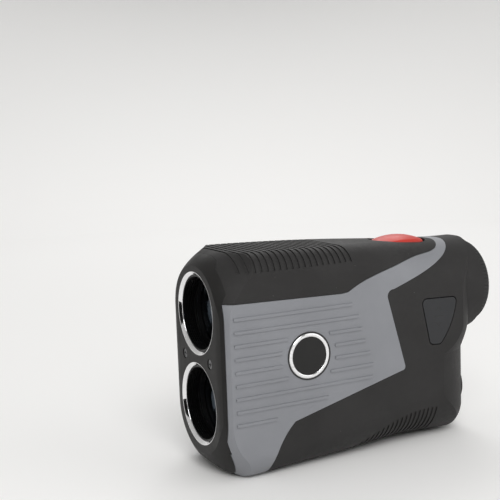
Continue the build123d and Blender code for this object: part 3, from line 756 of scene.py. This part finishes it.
class RANGEFINDER_OT_badge(bpy.types.Operator):
    """Round side badge, left bare: a bright rounded ring and a dark disc in it.

    The disc is a parabolic dome, height * (1 - (r / R)^2).
    """

    bl_idname = "rangefinder.badge"
    bl_label = "Badge"

    def execute(self, context):
        seat, face = reach_of("badge_ring", 1)
        low, high = corners_of("badge_ring")
        outer = (high[0] - low[0]) / 2 / MM
        centre = axis_of("badge_ring", axis=1)
        ring_width, bevel, edge, crown = 1.2, 0.12, 0.3, (0.35, 0.2)
        inner = outer - ring_width
        corners = [(seat, inner), (face - bevel, inner), (face, inner + edge),
                   (face, outer - crown[0]), (face - crown[1], outer), (seat, outer)]
        ring = turned("badge_ring.polished", softened(corners, bevel), centre, HOUSING,
                      "trim_chrome", axis="Y")
        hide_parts("badge_ring")
        sunk, dome_height, gap = 0.30, 0.10, 0.02
        r = np.linspace(0, inner - gap, 14)
        dome = np.stack([face - sunk + dome_height * (1 - (r / inner) ** 2), r], axis=1)
        back = np.array([[seat, inner - gap], [seat, 0.0]])
        disc = turned("badge_disc.domed", np.vstack([dome, back]), centre, HOUSING,
                      "badge_black", axis="Y")
        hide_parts("badge_disc")
        return {"FINISHED"}


class RANGEFINDER_OT_stage(bpy.types.Operator):
    """Pale floor that curves up into a round backdrop, soft lights and the camera."""

    bl_idname = "rangefinder.stage"
    bl_label = "Stage"

    def execute(self, context):
        scene = context.scene
        pale = stage_paint("stage_paint", (0.90, 0.895, 0.885))
        flat, sweep, top = 0.75, 0.5, 2.2             # floor's radius, wall's curve and height
        floor = bowl("stage_floor", [(0.0, 0.0), (0.25, 0.0), (0.5, 0.0), (flat, 0.0)], pale)
        angle = np.linspace(0, math.pi / 2, 16)
        rise = np.stack([flat + sweep * np.sin(angle), sweep * (1 - np.cos(angle))], axis=1)
        wall = bowl("stage_wall", np.vstack([rise, [(flat + sweep, top)]]), pale)
        wall.visible_shadow = wall.visible_diffuse = False
        black_flag()
        soft_light("key_light", place=(0.30, 0.85, 0.80), size=0.7, power=7.2)
        soft_light("fill_light", place=(-0.75, 0.65, 0.50), size=0.9, power=2.1)
        soft_light("rim_light", place=(-0.35, -0.75, 0.80), size=0.7, power=3.8)
        world_light(scene)
        scene.camera = view_camera(scene)
        scene.view_settings.view_transform = "Standard"
        return {"FINISHED"}


def bowl(name, outline, material):
    """A stage surface: outline points (radius, height) turned about the vertical axis."""
    outline = np.asarray(outline, float)
    radius, height = outline[:, :1], outline[:, 1:]
    angle = np.linspace(0, 2 * math.pi, 96, endpoint=False)
    points = np.stack(np.broadcast_arrays(
        radius * np.cos(angle), radius * np.sin(angle), height), axis=-1)
    piece = surface(name, points, wrap_v=True)
    piece.data.flip_normals()
    piece.data.materials.append(material)
    return piece


def black_flag():
    """Dark card, an arc of a cylinder before the face, seen only in reflections and glass."""
    middle, radius = 0.02, 0.17
    angle = np.radians(np.linspace(2, 40, 20))[:, None]
    height = np.array([[0.004, 0.092]])
    points = np.stack(np.broadcast_arrays(
        middle + radius * np.cos(angle), radius * np.sin(angle), height), axis=-1)
    card = surface("black_flag", points)
    card.data.materials.append(stage_paint("flag_black", (0.006, 0.006, 0.006)))
    card.visible_camera = card.visible_diffuse = card.visible_shadow = False
    return card


def stage_paint(name, colour):
    """Matt paint for the stage, which isn't part of the object."""
    paint = bpy.data.materials.new(name)
    paint.use_nodes = True
    shader = paint.node_tree.nodes["Principled BSDF"]
    shader.inputs["Base Color"].default_value = (*colour, 1)
    shader.inputs["Roughness"].default_value = 0.9
    shader.inputs["Specular IOR Level"].default_value = 0.1
    return paint


def soft_light(name, place, size, power):
    """A square area light aimed at the middle of the object, `aim` metres up."""
    aim = 0.035
    lamp = bpy.data.lights.new(name, "AREA")
    lamp.size, lamp.energy = size, power
    holder = bpy.data.objects.new(name, lamp)
    bpy.context.scene.collection.objects.link(holder)
    back = np.array(place) - (0, 0, aim)
    back /= np.linalg.norm(back)
    side = np.cross((0, 0, 1), back)
    side /= np.linalg.norm(side)
    turn = Matrix(np.stack([side, np.cross(back, side), back], axis=1).tolist()).to_4x4()
    holder.matrix_world = Matrix.Translation(place) @ turn


def world_light(scene):
    """Pale surroundings, bright overhead and dimmer near the horizon, so metal has contrast."""
    world = bpy.data.worlds.new("studio")
    world.use_nodes = True
    tree = world.node_tree
    place = tree.nodes.new("ShaderNodeTexCoord")
    split = tree.nodes.new("ShaderNodeSeparateXYZ")
    tree.links.new(place.outputs["Generated"], split.inputs[0])
    strength = mapped(tree, split.outputs["Z"], low=0.05, high=0.75, to_low=0.20, to_high=0.54)
    tree.nodes["Background"].inputs["Color"].default_value = (1, 0.995, 0.985, 1)
    tree.links.new(strength, tree.nodes["Background"].inputs["Strength"])
    scene.world = world


def view_camera(scene):
    """Camera at the front left, a little above the instrument."""
    lens = bpy.data.cameras.new("camera")
    lens.lens, lens.sensor_width = 72.0, 36.0
    camera = bpy.data.objects.new("camera", lens)
    scene.collection.objects.link(camera)
    place = (0.185772, 0.299347, 0.117029)
    right = (-0.88999, 0.45452, -0.03658)
    up = (-0.09156, -0.09955, 0.99081)
    back = (0.44670, 0.88516, 0.13022)
    turn = Matrix((right, up, back)).transposed().to_4x4()
    camera.matrix_world = Matrix.Translation(place) @ turn
    return camera


# ---------------------------------------------------------------- panel and registration
STEPS = (
    RANGEFINDER_OT_finishes,
    RANGEFINDER_OT_lens_rings,
    RANGEFINDER_OT_front_lenses,
    RANGEFINDER_OT_lens_tubes,
    RANGEFINDER_OT_badge,
    RANGEFINDER_OT_roof_button,
    RANGEFINDER_OT_mode_marks,
    RANGEFINDER_OT_eyepiece,
    RANGEFINDER_OT_battery_door,
    RANGEFINDER_OT_stage,
)


class RANGEFINDER_PT_sidebar(bpy.types.Panel):
    """Lists the settings and the steps in the 3D view's sidebar."""

    bl_idname = "RANGEFINDER_PT_sidebar"
    bl_label = "Rangefinder"
    bl_space_type = "VIEW_3D"
    bl_region_type = "UI"
    bl_category = "Rangefinder"

    def draw(self, context):
        for settings in (context.scene.rangefinder_look, context.scene.rangefinder_sizes):
            for name in settings.__annotations__:
                self.layout.prop(settings, name)
        for step in STEPS:
            self.layout.operator(step.bl_idname)


CLASSES = (RangefinderLook, RangefinderSizes, *STEPS, RANGEFINDER_PT_sidebar)


def register():
    """Registers the classes and the settings."""
    for cls in CLASSES:
        bpy.utils.register_class(cls)
    bpy.types.Scene.rangefinder_look = PointerProperty(type=RangefinderLook)
    bpy.types.Scene.rangefinder_sizes = PointerProperty(type=RangefinderSizes)


def unregister():
    """Removes what register() added."""
    del bpy.types.Scene.rangefinder_look, bpy.types.Scene.rangefinder_sizes
    for cls in reversed(CLASSES):
        bpy.utils.unregister_class(cls)


def main():
    """Runs every step in order."""
    register()
    for step in STEPS:
        group, name = step.bl_idname.split(".")
        getattr(getattr(bpy.ops, group), name)()


if __name__ == "__main__":
    main()
